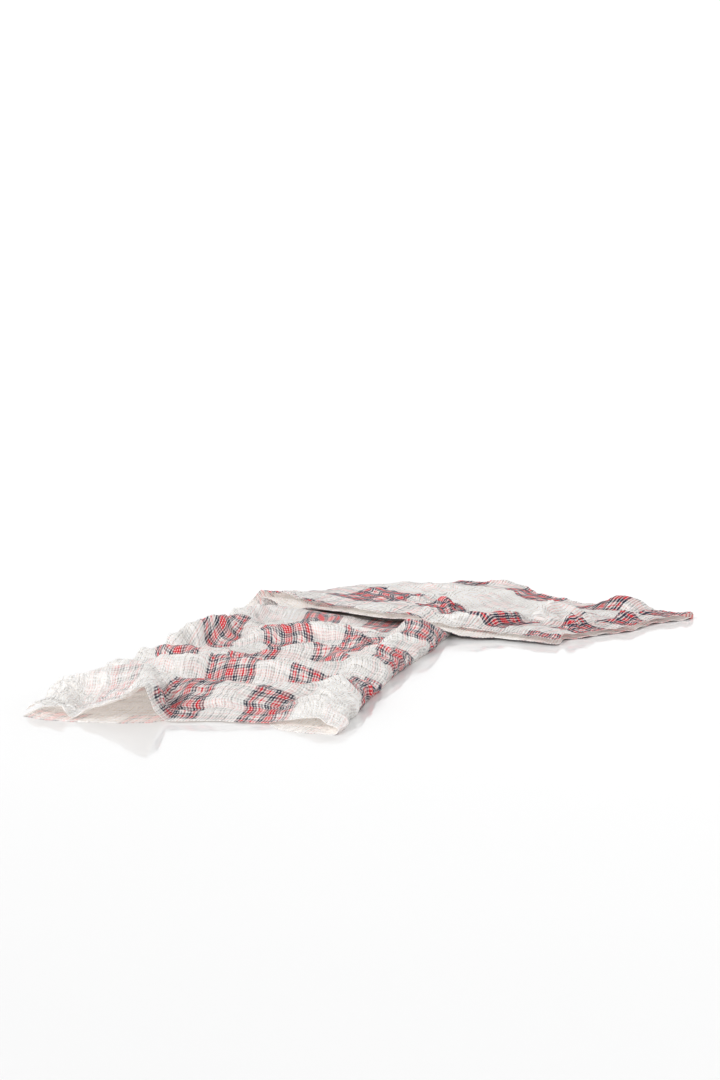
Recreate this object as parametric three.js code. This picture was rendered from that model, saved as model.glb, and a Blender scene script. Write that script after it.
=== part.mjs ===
// A thin checked scarf: one rectangle of crinkled cotton, folded lengthwise into two layers, laid on a
// flat surface, and turned back on itself along a slanting fold. The near leg comes to the front, and
// the far leg lies over its end and runs down to the right. Millimetres, +Z up.
import * as THREE from "three";

// Driving sizes of the laid scarf
const THICKNESS = 2;
const LEG_LENGTH = 945; // open edge of the near leg, from the front corner to the slanting fold
const FOLD_RADIUS = 14; // the bottom layer's radius as it turns over the slanting fold
const PINCH = 6; // height of the two layers where they enter the fold
const LIP_RADIUS = 10; // the lengthwise fold's small lower curve where it is full
const LIP_SHARE = 0.35; // and its share of the height where the fold is low
const ROLL_WIDTH = 52; // the lengthwise fold's broad upper curve
const BACK_ROLL_WIDTH = 5; // the same fold where the far leg lies flat
const LAYER_GAP = 5; // between the middles of two layers that lie on each other
const BEARING_GAP = 8; // between the far leg and the steep folds that it lies on
const REST_HEIGHT = 3; // the upper layer's height where nothing lifts it
const FOLDED_WIDTH = 500; // across the two layers, about
const ROLL_SHOULDER = 58; // where the roll slopes down to the upper layer
const PINCH_LENGTH = 130; // over which the layers are drawn together before the slanting fold
const COVER_SLOPE = 0.325; // the far leg's open edge as it crosses the near leg, along against across
const COVER_PRESS = 0.55; // share of the near leg's folds that the far leg presses flat
const COVER_BLEND = 50; // and the width over which it does so
const SLACK = { from: -30, to: 45 }; // where the far leg comes down, past the lengthwise fold under it
const MOUTH_DEPTH = 110; // how far in from its open edge the far leg's mouth reaches
const LANDING_LENGTH = 70; // from the slanting fold to where the far leg lies on the near one
const SETTLED_BY = 0.16; // share of the far leg by which it has its own edges
const END_DROPS_FROM = 0.9; // and from which it comes down to its end hem
const FRONT_CORNER = new THREE.Vector2(-600.5, -453.7);

// Directions in plan, in degrees from +X
const LEG_ANGLE = 72;
const FOLD_ANGLE = 18;
const FAR_ANGLE = 2 * FOLD_ANGLE - LEG_ANGLE;
const FOLD_SLOPE = Math.tan(THREE.MathUtils.degToRad(90 - LEG_ANGLE + FOLD_ANGLE));

// How finely the sheet is faceted
const CELLS = { near: 44, turn: 5, far: 30, under: 14, lip: 2, roll: 4, over: 14 };

// Outlines. In the near leg, along runs from the front corner and across from the open edges to the
// lengthwise fold. In the far leg, along runs from the slanting fold and across does the same.
const FRONT_EDGE_OVER = [
  { across: 0, along: 0 },
  { across: 84, along: -10 },
  { across: 130, along: 0 },
  { across: 167, along: 4 },
  { across: 199, along: 15 },
  { across: 213, along: 8 },
  { across: 240, along: 24 },
  { across: 320, along: 50 },
  { across: 400, along: 58 },
  { across: 455, along: 58 },
  { across: 513, along: 36 },
];
const FRONT_EDGE_UNDER = [
  { across: 0, along: -12 },
  { across: 40, along: -22 },
  { across: 90, along: -20 },
  { across: 150, along: -10 },
  { across: 205, along: 8 },
  { across: 255, along: 20 },
  { across: 364, along: 50 },
  { across: 410, along: 34 },
  { across: 459, along: 28 },
  { across: 513, along: 30 },
];
const OPEN_EDGE_OVER = [
  { along: 0, across: 0 },
  { along: 80, across: 8 },
  { along: 330, across: 13 },
  { along: 420, across: 25 },
  { along: 520, across: 34 },
  { along: 620, across: 43 },
  { along: 760, across: 52 },
  { along: 945, across: 46 },
];
const OPEN_EDGE_UNDER = [
  { along: 0, across: 0 },
  { along: 330, across: 16 },
  { along: 620, across: 40 },
  { along: 760, across: 44 },
  { along: 945, across: 12 },
];
const LENGTHWISE_FOLD = [
  { along: 0, across: 518, height: 13 },
  { along: 60, across: 519, height: 22 },
  { along: 130, across: 512, height: 34 },
  { along: 200, across: 506, height: 40 },
  { along: 262, across: 499, height: 38 },
  { along: 318, across: 495, height: 16 },
  { along: 350, across: 494, height: 20 },
  { along: 400, across: 490, height: 36 },
  { along: 470, across: 488, height: 42 },
  { along: 520, across: 487, height: 34 },
  { along: 548, across: 487, height: 16 },
  { along: 588, across: 489, height: 34 },
  { along: 604, across: 490, height: 26 },
  { along: 630, across: 492, height: 42 },
  { along: 700, across: 494, height: 46 },
  { along: 745, across: 492, height: 34 },
  { along: 785, across: 490, height: 14 },
  { along: 1000, across: 470, height: 8 },
  { along: 1240, across: 428, height: 6 },
];
const SLANTING_FOLD_BOW = [
  { across: 0, along: 0 },
  { across: 120, along: -28 },
  { across: 230, along: 22 },
  { across: 300, along: 8 },
  { across: 370, along: -24 },
  { across: 440, along: -20 },
];
const FAR_OPEN_EDGE_TOP = [
  { along: -40, across: 30 },
  { along: 60, across: 24 },
  { along: 120, across: 18 },
  { along: 250, across: 24 },
  { along: 390, across: 20 },
  { along: 440, across: 6 },
  { along: 480, across: 8 },
  { along: 540, across: 34 },
  { along: 600, across: 52 },
  { along: 720, across: 54 },
];
const FAR_OPEN_EDGE_LOW = [
  { along: -40, across: 30 },
  { along: 30, across: 2 },
  { along: 110, across: -10 },
  { along: 170, across: -4 },
  { along: 240, across: 16 },
  { along: 390, across: 14 },
  { along: 500, across: -3 },
  { along: 530, across: -9 },
  { along: 559, across: 7 },
  { along: 607, across: 36 },
  { along: 720, across: 54 },
];
const FAR_BACK_FOLD = [
  { along: 300, across: 420 },
  { along: 430, across: 416 },
  { along: 490, across: 398 },
  { along: 570, across: 400 },
  { along: 640, across: 390 },
  { along: 690, across: 398 },
  { along: 740, across: 424 },
  { along: 808, across: 440 },
];
const FAR_END = [
  { share: 0, along: 720 },
  { share: 0.17, along: 707 },
  { share: 0.3, along: 732 },
  { share: 0.57, along: 770 },
  { share: 0.75, along: 770 },
  { share: 1, along: 808 },
];
const FAR_HEIGHT = [
  { along: -60, height: 28, mouth: 0 },
  { along: 60, height: 27, mouth: 8 },
  { along: 150, height: 25, mouth: 8 },
  { along: 250, height: 21, mouth: 0 },
  { along: 350, height: 21, mouth: 0 },
  { along: 430, height: 27, mouth: 0 },
  { along: 465, height: 17, mouth: 0 },
  { along: 530, height: 12, mouth: 0 },
  { along: 600, height: 8, mouth: 0 },
  { along: 700, height: 6, mouth: 0 },
];

// Folds of the upper layer. A crest runs through three places, each [along, across], with a height at
// each. Its sides fall away over the widths left and right of the way it runs.
const NEAR_FOLDS = [
  { name: "front arch", crest: [[-40, 212], [50, 194], [150, 150]], height: [60, 60, 50],
    left: 34, right: 74 },
  { name: "slope to the arch", crest: [[-30, 138], [30, 138], [90, 120]], height: [22, 26, 26],
    left: 50, right: 54 },
  { name: "front corner", crest: [[-25, 20], [10, 40], [110, 24]], height: [15, 18, 26],
    left: 40, right: 34 },
  { name: "hump over the arch", crest: [[100, 22], [140, 85], [140, 150]], height: [33, 54, 52],
    left: 75, right: 46 },
  { name: "first long fold", crest: [[150, 150], [160, 300], [222, 430]], height: [50, 40, 36],
    left: 80, right: 42 },
  { name: "mouth by the roll", crest: [[-30, 462], [50, 462], [130, 444]], height: [21, 24, 30],
    left: 44, right: 92 },
  { name: "second fold, open side", crest: [[310, 18], [284, 105], [325, 195]], height: [25, 40, 41],
    left: 62, right: 42 },
  { name: "second fold, roll side", crest: [[325, 190], [340, 310], [405, 425]], height: [41, 37, 31],
    left: 70, right: 40 },
  { name: "third fold, open side", crest: [[405, 34], [404, 85], [404, 150]], height: [26, 36, 34],
    left: 46, right: 38 },
  { name: "third fold, low middle", crest: [[402, 150], [412, 205], [415, 240]], height: [27, 27, 26],
    left: 40, right: 34 },
  { name: "third fold, roll side", crest: [[425, 240], [482, 325], [432, 400]], height: [29, 41, 28],
    left: 66, right: 38 },
  { name: "edge hump, rising", crest: [[500, 40], [556, 54], [618, 84]], height: [18, 43, 43],
    left: 40, right: 52 },
  { name: "edge hump, turning", crest: [[612, 80], [668, 118], [626, 195]], height: [43, 42, 20],
    left: 56, right: 42 },
  { name: "fourth fold", crest: [[606, 165], [682, 275], [630, 365]], height: [26, 37, 22],
    left: 74, right: 40 },
  { name: "fold at the tunnel", crest: [[775, 58], [852, 112], [895, 255]], height: [27, 27, 16],
    left: 60, right: 45 },
  { name: "low swell", crest: [[735, 150], [748, 240], [712, 370]], height: [12, 17, 14],
    left: 50, right: 50 },
];
const FAR_FOLDS = [
  { name: "crease over the roll", crest: [[390, 110], [415, 138], [450, 112]], height: [30, 35, 30],
    left: 28, right: 34 },
  { name: "front roll", crest: [[500, 60], [545, 105], [572, 175]], height: [20, 31, 34],
    left: 34, right: 26 },
  { name: "middle of the tail", crest: [[590, 190], [615, 240], [660, 275]], height: [28, 36, 22],
    left: 36, right: 34 },
  { name: "upper front pucker", crest: [[640, 165], [680, 186], [730, 200]], height: [24, 27, 12],
    left: 26, right: 26 },
  { name: "lower front pucker", crest: [[690, 105], [712, 146], [745, 165]], height: [16, 29, 12],
    left: 24, right: 24 },
  { name: "end pucker", crest: [[718, 210], [748, 236], [775, 248]], height: [22, 28, 6],
    left: 24, right: 24 },
  { name: "tip pucker", crest: [[735, 300], [762, 346], [800, 410]], height: [24, 31, 10],
    left: 30, right: 26 },
  { name: "back hump", crest: [[630, 360], [690, 380], [722, 415]], height: [20, 41, 14],
    left: 40, right: 22 },
  { name: "back crest, left", crest: [[125, 150], [165, 215], [215, 262]], height: [27, 34, 30],
    left: 46, right: 34 },
  { name: "back crest, right", crest: [[330, 372], [375, 402], [425, 410]], height: [24, 36, 20],
    left: 60, right: 24 },
  { name: "slack over the leg", crest: [[300, 180], [340, 230], [400, 250]], height: [22, 27, 20],
    left: 40, right: 40 },
];
const CREST_STEPS = 8; // straight pieces that a curved crest is measured by
const CRISPNESS = 5; // how sharply two folds meet

function direction(degrees) {
  const angle = THREE.MathUtils.degToRad(degrees);
  return new THREE.Vector2(Math.cos(angle), Math.sin(angle));
}

const NEAR = { origin: FRONT_CORNER, along: direction(LEG_ANGLE), across: direction(LEG_ANGLE - 90) };
const FAR = {
  origin: FRONT_CORNER.clone().addScaledVector(NEAR.along, LEG_LENGTH),
  along: direction(FAR_ANGLE),
  across: direction(FAR_ANGLE + 90),
};
const FOLD_NORMAL = direction(FOLD_ANGLE + 90);

function toPlan(leg, along, across) {
  return leg.origin.clone().addScaledVector(leg.along, along).addScaledVector(leg.across, across);
}

function fromPlan(leg, place) {
  const offset = place.clone().sub(leg.origin);
  return { along: offset.dot(leg.along), across: offset.dot(leg.across) };
}

// A smooth curve through a table's rows: value[column] against value[key]
function lookUp(table, key, column, x) {
  let value = table[0][column];
  for (let i = 1; i < table.length; i += 1) {
    const share = THREE.MathUtils.smoothstep(x, table[i - 1][key], table[i][key]);
    value += (table[i][column] - table[i - 1][column]) * share;
  }
  return value;
}

// A round hill: 1 at its crest and 0 at its foot, for a share of the way down
function hill(share) {
  return 0.5 * (1 + Math.cos(Math.PI * THREE.MathUtils.clamp(share, 0, 1)));
}

// A quadratic through three values, at k from 0 to 1
function through(first, middle, last, k) {
  const control = 2 * middle - 0.5 * (first + last);
  return (1 - k) ** 2 * first + 2 * k * (1 - k) * control + k * k * last;
}

function foldHeight(fold, along, across) {
  const [start, middle, end] = fold.crest;
  const crestAt = (k) => [through(start[0], middle[0], end[0], k), through(start[1], middle[1], end[1], k)];
  let nearest = { distance: Infinity, k: 0, side: 0 };
  for (let i = 0; i < CREST_STEPS; i += 1) {
    const [ax, ay] = crestAt(i / CREST_STEPS);
    const [bx, by] = crestAt((i + 1) / CREST_STEPS);
    const [dx, dy] = [bx - ax, by - ay];
    const share = THREE.MathUtils.clamp(((along - ax) * dx + (across - ay) * dy) / (dx * dx + dy * dy), 0, 1);
    const distance = Math.hypot(along - ax - share * dx, across - ay - share * dy);
    if (distance < nearest.distance) {
      nearest = { distance, k: (i + share) / CREST_STEPS, side: dx * (across - ay) - dy * (along - ax) };
    }
  }
  const width = nearest.side < 0 ? fold.right : fold.left;
  return through(...fold.height, nearest.k) * hill(nearest.distance / width);
}

// The highest of several heights, rounded where two of them meet
function blend(heights) {
  const sum = heights.reduce((total, height) => total + Math.max(height, 0) ** CRISPNESS, 0);
  return sum ** (1 / CRISPNESS);
}

function rollEdge(along) {
  return lookUp(LENGTHWISE_FOLD, "along", "across", along);
}

function foldStart(across) {
  const bow = lookUp(SLANTING_FOLD_BOW, "across", "along", across);
  const setback = FOLD_RADIUS / Math.cos(Math.atan(FOLD_SLOPE));
  return LEG_LENGTH + FOLD_SLOPE * across + bow - setback;
}

// How far the two layers are drawn together on their way into the slanting fold, from 0 to 1
function pinchShare(along, across) {
  return THREE.MathUtils.smoothstep(along - foldStart(across), -PINCH_LENGTH, 0);
}

// The upper layer of the near leg, above the lower one
function nearHeight(along, across) {
  const pastRoll = (rollEdge(along) - ROLL_WIDTH - across) / ROLL_SHOULDER;
  const roll = lookUp(LENGTHWISE_FOLD, "along", "height", along) * hill(pastRoll);
  const folds = NEAR_FOLDS.map((fold) => foldHeight(fold, along, across));
  const open = blend([...folds, roll, REST_HEIGHT]);
  const coverEdge = LEG_LENGTH - COVER_SLOPE * across;
  const covered = THREE.MathUtils.smoothstep(along - coverEdge, -COVER_BLEND, COVER_BLEND);
  const pressed = Math.max(open * (1 - COVER_PRESS * covered), REST_HEIGHT);
  return THREE.MathUtils.lerp(pressed, PINCH, pinchShare(along, across));
}

// What the far leg lies on: the near leg's upper layer, sloping to the surface past its edge
function supportHeight(place) {
  const { along, across } = fromPlan(NEAR, place);
  const edge = rollEdge(along);
  const height = nearHeight(along, Math.min(across, edge - ROLL_WIDTH));
  return height * (1 - THREE.MathUtils.smoothstep(across, edge + SLACK.from, edge + SLACK.to));
}

function farHeights(along, across) {
  const base = lookUp(FAR_HEIGHT, "along", "height", along);
  const mouth = lookUp(FAR_HEIGHT, "along", "mouth", along) * hill(across / MOUTH_DEPTH);
  const support = supportHeight(toPlan(FAR, along, across));
  const low = Math.max(base - LAYER_GAP - mouth, support + BEARING_GAP, 0);
  const folds = FAR_FOLDS.map((fold) => foldHeight(fold, along, across));
  const top = blend([Math.max(base, low + LAYER_GAP), ...folds]);
  return { low, top: Math.max(top, low + LAYER_GAP) };
}

// Columns run across the cloth: under layer, lip and roll of the lengthwise fold, over layer
function makeColumns() {
  const columns = [];
  for (const zone of ["under", "lip", "roll", "over"]) {
    for (let i = 0; i < CELLS[zone]; i += 1) {
      columns.push({ zone, share: i / CELLS[zone] });
    }
  }
  columns.push({ zone: "over", share: 1 });
  return columns;
}

// How far across its own layer a column lies, from the open edge to the lengthwise fold
function shareAcross(column) {
  return { under: column.share, lip: 1, roll: 1, over: 1 - column.share }[column.zone];
}

// Where a column crosses the near leg at a share of the way from the front edge to the fold
function nearSection(column, progress) {
  const isUnder = column.zone === "under" || column.zone === "lip";
  const frontEdge = isUnder ? FRONT_EDGE_UNDER : FRONT_EDGE_OVER;
  const alongAt = (across) => {
    const front = lookUp(frontEdge, "across", "along", across);
    return front + progress * (foldStart(across) - front);
  };
  const turn = (column.share * Math.PI) / 2;
  const firstGuess = shareAcross(column) * FOLDED_WIDTH;
  const guessAlong = alongAt(firstGuess);
  const pinched = pinchShare(guessAlong, firstGuess);
  const edge = rollEdge(guessAlong);
  const fullness = lookUp(LENGTHWISE_FOLD, "along", "height", guessAlong);
  const lip = THREE.MathUtils.lerp(Math.min(LIP_RADIUS, LIP_SHARE * fullness), PINCH / 2, pinched);
  const roll = THREE.MathUtils.lerp(ROLL_WIDTH, PINCH / 2, pinched);
  const openUnder = lookUp(OPEN_EDGE_UNDER, "along", "across", guessAlong);
  const openOver = lookUp(OPEN_EDGE_OVER, "along", "across", guessAlong);
  const across = {
    under: THREE.MathUtils.lerp(openUnder, edge - lip, column.share),
    lip: edge - lip + lip * Math.sin(turn),
    roll: edge - roll + roll * Math.cos(turn),
    over: THREE.MathUtils.lerp(edge - roll, openOver, column.share),
  }[column.zone];
  const along = alongAt(across);
  const rollTop = nearHeight(alongAt(edge - roll), edge - roll);
  const rise = {
    under: 0,
    lip: lip * (1 - Math.cos(turn)),
    roll: lip + (rollTop - lip) * Math.sin(turn),
    over: nearHeight(along, across),
  }[column.zone];
  return { along, across, rise };
}

function nearPoint(column, progress) {
  const { along, across, rise } = nearSection(column, progress);
  const place = toPlan(NEAR, along, across);
  return new THREE.Vector3(place.x, place.y, rise);
}

// The slanting fold: every layer turns half a circle about one line, the lowest layer outermost
function turnPoint(column, progress) {
  const { along, across, rise } = nearSection(column, 1);
  const angle = Math.PI * progress;
  const radius = FOLD_RADIUS - rise;
  const edgeStep = OPEN_EDGE_OVER.at(-1).across - OPEN_EDGE_UNDER.at(-1).across;
  const nearEdge = column.zone === "under" ? 1 - column.share : 0;
  const drawnIn = edgeStep * nearEdge * THREE.MathUtils.smoothstep(progress, 0, 1);
  const shift = foldStart(across + drawnIn) - foldStart(across);
  const place = toPlan(NEAR, along + shift, across + drawnIn);
  place.addScaledVector(FOLD_NORMAL, radius * Math.sin(angle));
  return new THREE.Vector3(place.x, place.y, FOLD_RADIUS - radius * Math.cos(angle));
}

function farPoint(column, progress) {
  const start = turnPoint(column, 1);
  const entry = fromPlan(FAR, new THREE.Vector2(start.x, start.y));
  const isRoll = column.zone === "lip" || column.zone === "roll";
  const isLow = column.zone === "over" || column.zone === "roll";
  const share = shareAcross(column);
  const end = lookUp(FAR_END, "share", "along", share);
  const along = THREE.MathUtils.lerp(entry.along, end, progress);
  const openEdge = lookUp(isLow ? FAR_OPEN_EDGE_LOW : FAR_OPEN_EDGE_TOP, "along", "across", along);
  const back = lookUp(FAR_BACK_FOLD, "along", "across", along);
  const turn = ((column.zone === "lip" ? column.share - 1 : column.share) * Math.PI) / 2;
  const flat = THREE.MathUtils.lerp(openEdge, back - BACK_ROLL_WIDTH, share);
  const settledAcross = isRoll ? back - BACK_ROLL_WIDTH * (1 - Math.cos(turn)) : flat;
  const settled = THREE.MathUtils.smoothstep(progress, 0, SETTLED_BY);
  const across = THREE.MathUtils.lerp(entry.across, settledAcross, settled);
  const { low, top } = farHeights(along, across);
  const ending = THREE.MathUtils.smoothstep(progress, END_DROPS_FROM, 1);
  const lowHere = THREE.MathUtils.lerp(low, 0, ending);
  const topHere = THREE.MathUtils.lerp(top, LAYER_GAP, ending);
  const middle = (topHere + lowHere) / 2;
  const flatHeight = isLow ? lowHere : topHere;
  const height = isRoll ? middle - ((topHere - lowHere) / 2) * Math.sin(turn) : flatHeight;
  const clear = THREE.MathUtils.smoothstep(along - entry.along, 0, LANDING_LENGTH);
  const place = toPlan(FAR, along, across);
  return new THREE.Vector3(place.x, place.y, THREE.MathUtils.lerp(start.z, height, clear));
}

// The middle of the cloth as rows of points, from the front edge to the far end
function makeRows(columns) {
  const rows = [];
  const stretches = [
    { place: nearPoint, cells: CELLS.near },
    { place: turnPoint, cells: CELLS.turn },
    { place: farPoint, cells: CELLS.far },
  ];
  for (const { place, cells } of stretches) {
    for (let i = 0; i < cells; i += 1) {
      rows.push(columns.map((column) => place(column, i / cells)));
    }
  }
  rows.push(columns.map((column) => farPoint(column, 1)));
  return rows;
}

function sheetNormal(rows, i, j) {
  const last = { row: rows.length - 1, column: rows[0].length - 1 };
  const down = rows[Math.min(i + 1, last.row)][j].clone().sub(rows[Math.max(i - 1, 0)][j]);
  const side = rows[i][Math.min(j + 1, last.column)].clone().sub(rows[i][Math.max(j - 1, 0)]);
  return down.cross(side).normalize();
}

// A closed sheet: an outer skin, an inner skin and a rim round the four hems
function makeSheet(rows, thickness) {
  const [height, width] = [rows.length, rows[0].length];
  const half = thickness / 2;
  const positions = [];
  for (const side of [1, -1]) {
    for (let i = 0; i < height; i += 1) {
      for (let j = 0; j < width; j += 1) {
        const point = rows[i][j].clone().addScaledVector(sheetNormal(rows, i, j), side * half);
        positions.push(point.x, point.y, Math.max(point.z + half, 0));
      }
    }
  }
  const outer = (i, j) => i * width + j;
  const inner = (i, j) => height * width + i * width + j;
  const faces = [];
  const addQuad = (a, b, c, d) => faces.push(a, b, c, a, c, d);
  for (let i = 0; i < height - 1; i += 1) {
    for (let j = 0; j < width - 1; j += 1) {
      addQuad(outer(i, j), outer(i + 1, j), outer(i + 1, j + 1), outer(i, j + 1));
      addQuad(inner(i, j), inner(i, j + 1), inner(i + 1, j + 1), inner(i + 1, j));
    }
    addQuad(outer(i, 0), inner(i, 0), inner(i + 1, 0), outer(i + 1, 0));
    addQuad(outer(i, width - 1), outer(i + 1, width - 1), inner(i + 1, width - 1), inner(i, width - 1));
  }
  for (let j = 0; j < width - 1; j += 1) {
    addQuad(outer(0, j), outer(0, j + 1), inner(0, j + 1), inner(0, j));
    addQuad(outer(height - 1, j), inner(height - 1, j), inner(height - 1, j + 1), outer(height - 1, j + 1));
  }
  const geometry = new THREE.BufferGeometry();
  geometry.setAttribute("position", new THREE.Float32BufferAttribute(positions, 3));
  geometry.setIndex(faces);
  geometry.computeVertexNormals();
  return geometry;
}

// The origin is the middle of the scarf's box, on the surface that it lies on
function centreOnSurface(geometry) {
  geometry.computeBoundingBox();
  const middle = geometry.boundingBox.getCenter(new THREE.Vector3());
  geometry.translate(-middle.x, -middle.y, -geometry.boundingBox.min.z);
}

const cottonCheck = new THREE.MeshStandardMaterial({ color: 0xe9e5df, roughness: 0.92, metalness: 0 });
const clothGeometry = makeSheet(makeRows(makeColumns()), THICKNESS);
centreOnSurface(clothGeometry);

const cloth = new THREE.Mesh(clothGeometry, cottonCheck);
cloth.name = "cloth";

const scarf = new THREE.Group();
scarf.add(cloth);

export default scarf;
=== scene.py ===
# %% [markdown]
# # A thin checked scarf, folded lengthwise and laid down
#
# The real thing is one rectangle of crinkled cotton gauze, judged to be about 1.1 m by 1.85 m, with a
# narrow hem all round. It is folded lengthwise into two layers and laid on a white surface. The near part
# comes to the front. At the back the cloth is turned over a slanting fold, and the far part lies over it
# and runs off to the right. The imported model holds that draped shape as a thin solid. This lesson lays a
# finer sheet on the same folds, in the same frame, and gives it its creases, hem and woven check.

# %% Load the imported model
import math

import bpy
import numpy as np
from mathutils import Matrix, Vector


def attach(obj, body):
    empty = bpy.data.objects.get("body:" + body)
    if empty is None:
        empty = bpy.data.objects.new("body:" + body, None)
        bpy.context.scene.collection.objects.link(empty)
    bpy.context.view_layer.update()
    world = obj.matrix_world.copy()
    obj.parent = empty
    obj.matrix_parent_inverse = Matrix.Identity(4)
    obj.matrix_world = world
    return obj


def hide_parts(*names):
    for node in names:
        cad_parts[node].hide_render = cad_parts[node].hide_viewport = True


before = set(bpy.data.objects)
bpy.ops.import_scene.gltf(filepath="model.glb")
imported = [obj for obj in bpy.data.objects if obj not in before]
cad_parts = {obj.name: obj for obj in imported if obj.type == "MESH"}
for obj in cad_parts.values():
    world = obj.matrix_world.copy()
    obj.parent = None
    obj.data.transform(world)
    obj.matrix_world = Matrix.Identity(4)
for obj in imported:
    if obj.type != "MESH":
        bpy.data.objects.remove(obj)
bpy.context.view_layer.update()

# %% [markdown]
# ## Camera
#
# The photograph is taken from low in front, so the cloth is seen at a slant and its far part stands over
# its near part. The camera is made first, because a render without one shows nothing at all. Its height
# over the surface and its tilt are what make a flat cloth look as long as it does. Both are estimates,
# taken from the outline of the cloth.

# %% Camera at the photograph's viewing angle
CAMERA_PLACE = (-0.0612, -3.6061, 0.796)
CAMERA_TILT = 9.185  # degrees below level
CAMERA_PITCH = math.radians(90 - CAMERA_TILT)
bpy.ops.object.select_all(action="DESELECT")
bpy.ops.object.camera_add(location=CAMERA_PLACE, rotation=(CAMERA_PITCH, 0, 0))
camera = bpy.context.object
camera.name = "camera"
camera.data.lens = 66.667
camera.data.sensor_width = 36
bpy.context.scene.camera = camera
print("camera", tuple(camera.location))

# %% [markdown]
# ## The folded shape, in named sizes
#
# The sheet could be dropped by a cloth simulation, but its folds would then fall where chance puts them.
# Here each fold has its own place on the real cloth, so the shape is worked out from the sizes that the
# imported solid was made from: the two legs, the slanting fold between them, and the round fold along one
# side. Only the front and end hems and the small creases are this sheet's own, and the far leg lies
# closer on the near one. All sizes are millimetres until the very end.

# %% Driving sizes
LEG_LENGTH = 945  # open edge of the near leg, from the front corner to the slanting fold
FOLD_RADIUS = 14  # the outer layer's radius as it turns over the slanting fold
PINCH = 6  # height of the two layers where they enter that fold
LIP_RADIUS = 10  # the lengthwise fold's small lower curve where it is full
LIP_SHARE = 0.35  # and its share of the height where the fold is low
ROLL_WIDTH = 52  # the lengthwise fold's broad upper curve
BACK_ROLL_WIDTH = 5  # the same fold where the far leg lies flat
LAYER_GAP = 5  # between the middles of two layers that lie on each other
BEARING_GAP = 4  # between the far leg and the folds that it lies on, where the thick solid needs 8
REST_HEIGHT = 3  # the upper layer's height where nothing lifts it
FOLDED_WIDTH = 500  # across the two layers, about
ROLL_SHOULDER = 58  # where the roll slopes down to the upper layer
PINCH_LENGTH = 130  # over which the layers are drawn together before the slanting fold
COVER_SLOPE = 0.325  # the far leg's open edge as it crosses the near leg
COVER_PRESS = 0.55  # share of the near leg's folds that the far leg presses flat
COVER_BLEND = 50  # and the width over which it does so
SLACK_FROM = -30  # where the far leg comes down, past the lengthwise fold under it
SLACK_TO = 45
MOUTH_DEPTH = 110  # how far in from its open edge the far leg's mouth reaches
LANDING_LENGTH = 70  # from the slanting fold to where the far leg lies on the near one
SETTLED_BY = 0.16  # share of the far leg by which it has its own edges
END_DROPS_FROM = 0.9  # and from which it comes down to its end hem
CRISPNESS = 5  # how sharply two folds meet
CREST_STEPS = 8  # straight steps along a fold's crest
FRONT_CORNER = np.array((-600.5, -453.7))
LEG_ANGLE = 72  # directions in plan, in degrees from +X
FOLD_ANGLE = 18
FAR_ANGLE = 2 * FOLD_ANGLE - LEG_ANGLE
FOLD_SLOPE = math.tan(math.radians(90 - LEG_ANGLE + FOLD_ANGLE))
print("folded cloth", FOLDED_WIDTH, "mm across, near leg", LEG_LENGTH, "mm long")

# %% [markdown]
# ## Edges of the laid cloth
#
# The hems of a soft cloth never lie straight. Each edge is a short table of places, read as a smooth
# curve: along runs from the front corner towards the slanting fold in the near leg, and away from it in
# the far leg. Across runs from the open edges to the lengthwise fold.

# %% Outline tables
FRONT_EDGE_OVER = dict(
    across=(0, 84, 130, 167, 199, 213, 240, 320, 400, 455, 513),
    along=(0, -10, 0, 4, 15, 8, 24, 50, 58, 58, 36),
)
FRONT_EDGE_UNDER = dict(
    across=(0, 40, 90, 150, 205, 255, 364, 410, 459, 513),
    along=(-12, -22, -20, -10, 8, 20, 50, 34, 28, 30),
)
OPEN_EDGE_OVER = dict(
    along=(0, 80, 330, 420, 520, 620, 760, 945),
    across=(0, 8, 13, 25, 34, 43, 52, 46),
)
OPEN_EDGE_UNDER = dict(
    along=(0, 330, 620, 760, 945),
    across=(0, 16, 40, 44, 12),
)
LENGTHWISE_FOLD = dict(
    along=(0, 60, 130, 200, 262, 318, 350, 400, 470, 520, 548, 588, 604, 630, 700, 745, 785, 1000, 1240),
    across=(518, 519, 512, 506, 499, 495, 494, 490, 488, 487, 487, 489, 490, 492, 494, 492, 490, 470, 428),
    height=(13, 22, 34, 40, 38, 16, 20, 36, 42, 34, 16, 34, 26, 42, 46, 34, 14, 8, 6),
)
SLANTING_FOLD_BOW = dict(
    across=(0, 120, 230, 300, 370, 440),
    along=(0, -28, 22, 8, -24, -20),
)
FAR_OPEN_EDGE_TOP = dict(
    along=(-40, 60, 120, 250, 390, 440, 480, 540, 600, 720),
    across=(30, 24, 18, 24, 20, 6, 8, 34, 52, 54),
)
FAR_OPEN_EDGE_LOW = dict(
    along=(-40, 30, 110, 170, 240, 390, 500, 530, 559, 607, 720),
    across=(30, 2, -10, -4, 16, 14, -3, -9, 7, 36, 54),
)
FAR_BACK_FOLD = dict(
    along=(300, 430, 490, 570, 640, 690, 740, 808),
    across=(420, 416, 398, 400, 390, 398, 424, 440),
)
FAR_END = dict(
    share=(0, 0.17, 0.3, 0.57, 0.75, 1),
    along=(720, 707, 732, 770, 770, 808),
)
FAR_HEIGHT = dict(
    along=(-60, 60, 150, 250, 350, 430, 465, 530, 600, 700),
    height=(28, 27, 25, 21, 21, 27, 17, 12, 8, 6),
    mouth=(0, 8, 8, 0, 0, 0, 0, 0, 0, 0),
)

# %% Smooth curves through the tables
def smooth(x, low, high):
    """0 up to low, 1 from high, and a soft step between."""
    share = np.clip((x - low) / (high - low), 0, 1)
    return share * share * (3 - 2 * share)


def mix(first, second, share):
    return first + (second - first) * share


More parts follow.
